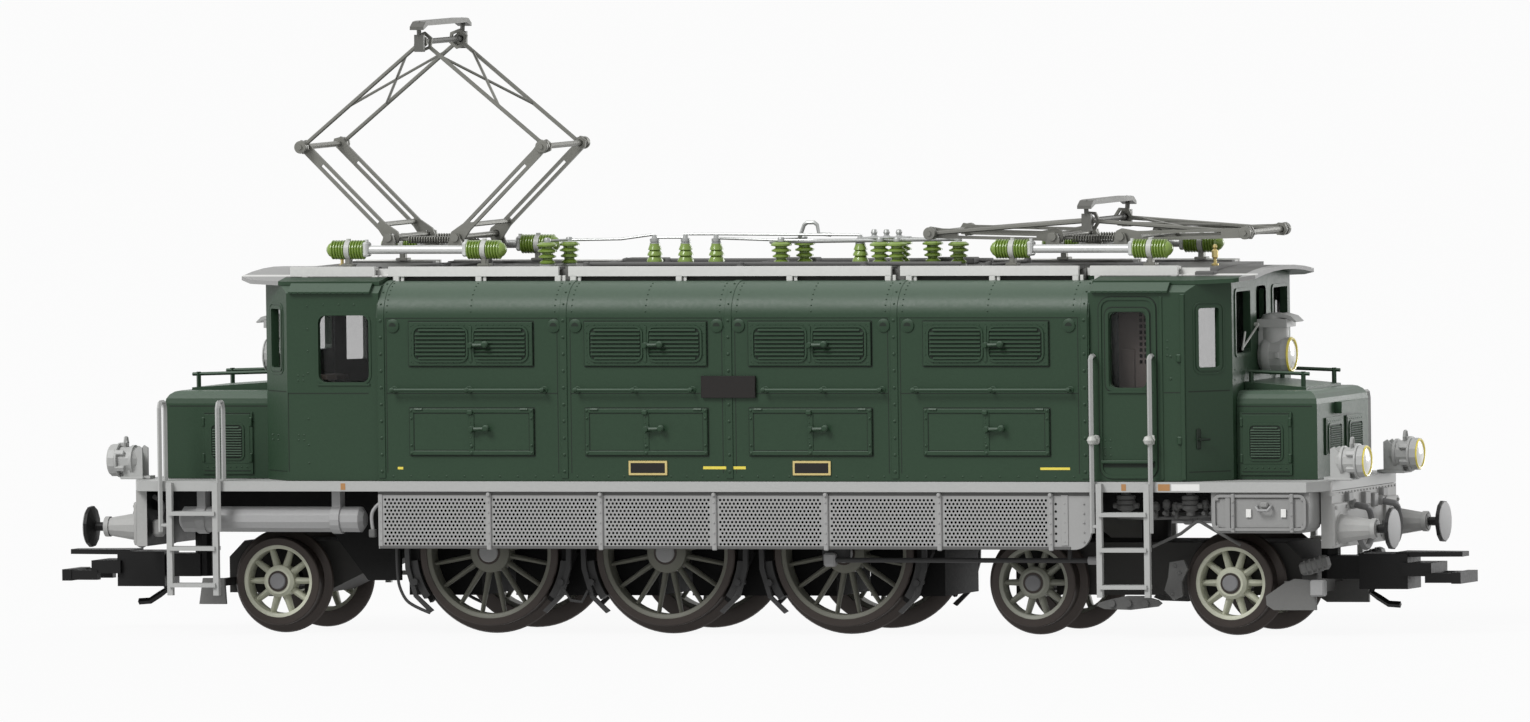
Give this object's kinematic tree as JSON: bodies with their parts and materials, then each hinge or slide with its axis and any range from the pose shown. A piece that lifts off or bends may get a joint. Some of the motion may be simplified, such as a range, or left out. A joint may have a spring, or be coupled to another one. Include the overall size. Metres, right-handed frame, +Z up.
{
  "type": "electric locomotive scale model",
  "caption": "Scale model electric locomotive with turning wheels, swinging bogie and folding roof current collectors.",
  "frame": {"origin": "on the floor under the wheel flanges, midway between the couplers and the sides", "axes": "+X towards the two-axle bogie end, +Y to the far side, +Z up"},
  "size_m": [0.1812, 0.0362, 0.0751],
  "materials": {
    "body_green": "satin dark green paint",
    "frame_grey": "satin grey paint",
    "roof_grey": "matt dark grey paint",
    "chassis_black": "matt black paint",
    "wheel_steel": "browned steel, painted spokes",
    "panto_metal": "grey metal",
    "buffer_black": "matt black",
    "insulator_green": "glossy green",
    "glazing": "clear",
    "interior_brown": "matt"
  },
  "bodies": {
    "root": {"air_tank_far": "frame_grey", "air_tank_near": "frame_grey", "buffer_head_left_far": "buffer_black", "buffer_head_left_near": "buffer_black", "buffer_head_right_far": "buffer_black", "buffer_head_right_near": "buffer_black", "cab_glazing_left": "glazing", "cab_glazing_right": "glazing", "cab_interior_left": "interior_brown", "cab_interior_right": "interior_brown", "cab_roof_left": "roof_grey", "cab_roof_right": "roof_grey", "chassis_block": "chassis_black", "end_beam_left": "frame_grey", "end_beam_right": "frame_grey", "footplate": "frame_grey", "headlamp_left_far": "frame_grey", "headlamp_left_near": "frame_grey", "headlamp_right_far": "frame_grey", "headlamp_right_near": "frame_grey", "high_tension_line": "insulator_green", "hood_left": "body_green", "hood_right": "body_green", "housing": "body_green", "ladder_far_left": "frame_grey", "ladder_far_right": "frame_grey", "ladder_near_left": "frame_grey", "ladder_near_right": "frame_grey", "machine_roof": "roof_grey", "motor_block": "chassis_black", "pantograph_base_left": "panto_metal", "pantograph_base_right": "panto_metal", "skirt_far": "frame_grey", "skirt_near": "frame_grey", "toolbox_far": "frame_grey", "toolbox_near": "frame_grey", "upper_lamp_left": "frame_grey", "upper_lamp_right": "frame_grey"},
    "pony_wheelset": {"pony_wheelset": "wheel_steel"},
    "driver_wheelset_1": {"driver_wheelset_1": "wheel_steel"},
    "driver_wheelset_2": {"driver_wheelset_2": "wheel_steel"},
    "driver_wheelset_3": {"driver_wheelset_3": "wheel_steel"},
    "bogie_wheelset_1": {"bogie_wheelset_1": "wheel_steel"},
    "bogie_wheelset_2": {"bogie_wheelset_2": "wheel_steel"},
    "bogie": {"bogie_frame": "chassis_black"},
    "pony": {"pony_frame": "chassis_black"},
    "coupler_left": {"coupler_left": "buffer_black"},
    "coupler_right": {"coupler_right": "buffer_black"},
    "lower_arm_a_left": {"lower_arm_a_left": "panto_metal"},
    "lower_arm_b_left": {"lower_arm_b_left": "panto_metal"},
    "upper_arm_a_left": {"upper_arm_a_left": "panto_metal"},
    "upper_arm_b_left": {"upper_arm_b_left": "panto_metal"},
    "collector_head_left": {"collector_head_left": "panto_metal"},
    "lower_arm_a_right": {"lower_arm_a_right": "panto_metal"},
    "lower_arm_b_right": {"lower_arm_b_right": "panto_metal"},
    "upper_arm_a_right": {"upper_arm_a_right": "panto_metal"},
    "upper_arm_b_right": {"upper_arm_b_right": "panto_metal"},
    "collector_head_right": {"collector_head_right": "panto_metal"}
  },
  "joints": [
    {"name": "bogie_swing", "type": "hinge", "parent": "root", "child": "bogie", "pos_m": [0.0507, 0, 0.013], "axis": [0, 0, 1], "range_deg": [-6, 6]},
    {"name": "pony_swing", "type": "hinge", "parent": "root", "child": "pony", "pos_m": [-0.048, 0, 0.013], "axis": [0, 0, 1], "range_deg": [-8, 8]},
    {"name": "pony_axle", "type": "hinge", "parent": "pony", "child": "pony_wheelset", "pos_m": [-0.05985, 0, 0.0064], "axis": [0, 1, 0], "continuous": true},
    {"name": "driver_axle_1", "type": "hinge", "parent": "root", "child": "driver_wheelset_1", "pos_m": [-0.0323, 0, 0.01], "axis": [0, 1, 0], "continuous": true},
    {"name": "driver_axle_2", "type": "hinge", "parent": "root", "child": "driver_wheelset_2", "pos_m": [-0.00937, 0, 0.01], "axis": [0, 1, 0], "continuous": true},
    {"name": "driver_axle_3", "type": "hinge", "parent": "root", "child": "driver_wheelset_3", "pos_m": [0.0137, 0, 0.01], "axis": [0, 1, 0], "continuous": true},
    {"name": "bogie_axle_1", "type": "hinge", "parent": "bogie", "child": "bogie_wheelset_1", "pos_m": [0.03805, 0, 0.0064], "axis": [0, 1, 0], "continuous": true},
    {"name": "bogie_axle_2", "type": "hinge", "parent": "bogie", "child": "bogie_wheelset_2", "pos_m": [0.06335, 0, 0.0064], "axis": [0, 1, 0], "continuous": true},
    {"name": "coupler_left_swing", "type": "hinge", "parent": "root", "child": "coupler_left", "pos_m": [-0.073, 0, 0.01], "axis": [0, 0, 1], "range_deg": [-12, 12]},
    {"name": "coupler_right_swing", "type": "hinge", "parent": "root", "child": "coupler_right", "pos_m": [0.073, 0, 0.01], "axis": [0, 0, 1], "range_deg": [-12, 12]},
    {"name": "pantograph_left", "type": "hinge", "parent": "root", "child": "lower_arm_a_left", "pos_m": [-0.04555, 0, 0.0485], "axis": [0, 1, 0], "range_deg": [-43, 8]},
    {"name": "upper_arm_a_left_fold", "type": "hinge", "parent": "lower_arm_a_left", "child": "upper_arm_a_left", "pos_m": [-0.05691, 0, 0.05962], "axis": [0, -1, 0], "range_deg": [-78.14, 14.58]},
    {"name": "collector_left_level", "type": "hinge", "parent": "upper_arm_a_left", "child": "collector_head_left", "pos_m": [-0.0412, 0, 0.07248], "axis": [0, 1, 0], "range_deg": [-35.14, 6.58]},
    {"name": "lower_arm_b_left_turn", "type": "hinge", "parent": "root", "child": "lower_arm_b_left", "pos_m": [-0.03685, 0, 0.0485], "axis": [0, -1, 0], "range_deg": [-43.05, 8.05]},
    {"name": "upper_arm_b_left_fold", "type": "hinge", "parent": "lower_arm_b_left", "child": "upper_arm_b_left", "pos_m": [-0.02549, 0, 0.05962], "axis": [0, 1, 0], "range_deg": [-78.14, 14.58]},
    {"name": "pantograph_right", "type": "hinge", "parent": "root", "child": "lower_arm_a_right", "pos_m": [0.04045, 0, 0.0485], "axis": [0, 1, 0], "range_deg": [0, 51]},
    {"name": "upper_arm_a_right_fold", "type": "hinge", "parent": "lower_arm_a_right", "child": "upper_arm_a_right", "pos_m": [0.02456, 0, 0.04889], "axis": [0, -1, 0], "range_deg": [-0.05, 92.67]},
    {"name": "collector_right_level", "type": "hinge", "parent": "upper_arm_a_right", "child": "collector_head_right", "pos_m": [0.0448, 0, 0.05038], "axis": [0, 1, 0], "range_deg": [-0.05, 41.67]},
    {"name": "lower_arm_b_right_turn", "type": "hinge", "parent": "root", "child": "lower_arm_b_right", "pos_m": [0.04915, 0, 0.0485], "axis": [0, -1, 0], "range_deg": [-0.05, 51.05]},
    {"name": "upper_arm_b_right_fold", "type": "hinge", "parent": "lower_arm_b_right", "child": "upper_arm_b_right", "pos_m": [0.06505, 0, 0.04889], "axis": [0, 1, 0], "range_deg": [-0.05, 92.67]}
  ],
  "couplings": [
    {"joint": "upper_arm_a_left_fold", "follows": "pantograph_left", "ratio": 1.816},
    {"joint": "collector_left_level", "follows": "pantograph_left", "ratio": 0.816},
    {"joint": "lower_arm_b_left_turn", "follows": "pantograph_left", "ratio": 1},
    {"joint": "upper_arm_b_left_fold", "follows": "pantograph_left", "ratio": 1.816},
    {"joint": "upper_arm_a_right_fold", "follows": "pantograph_right", "ratio": 1.816},
    {"joint": "collector_right_level", "follows": "pantograph_right", "ratio": 0.816},
    {"joint": "lower_arm_b_right_turn", "follows": "pantograph_right", "ratio": 1},
    {"joint": "upper_arm_b_right_fold", "follows": "pantograph_right", "ratio": 1.816}
  ]
}
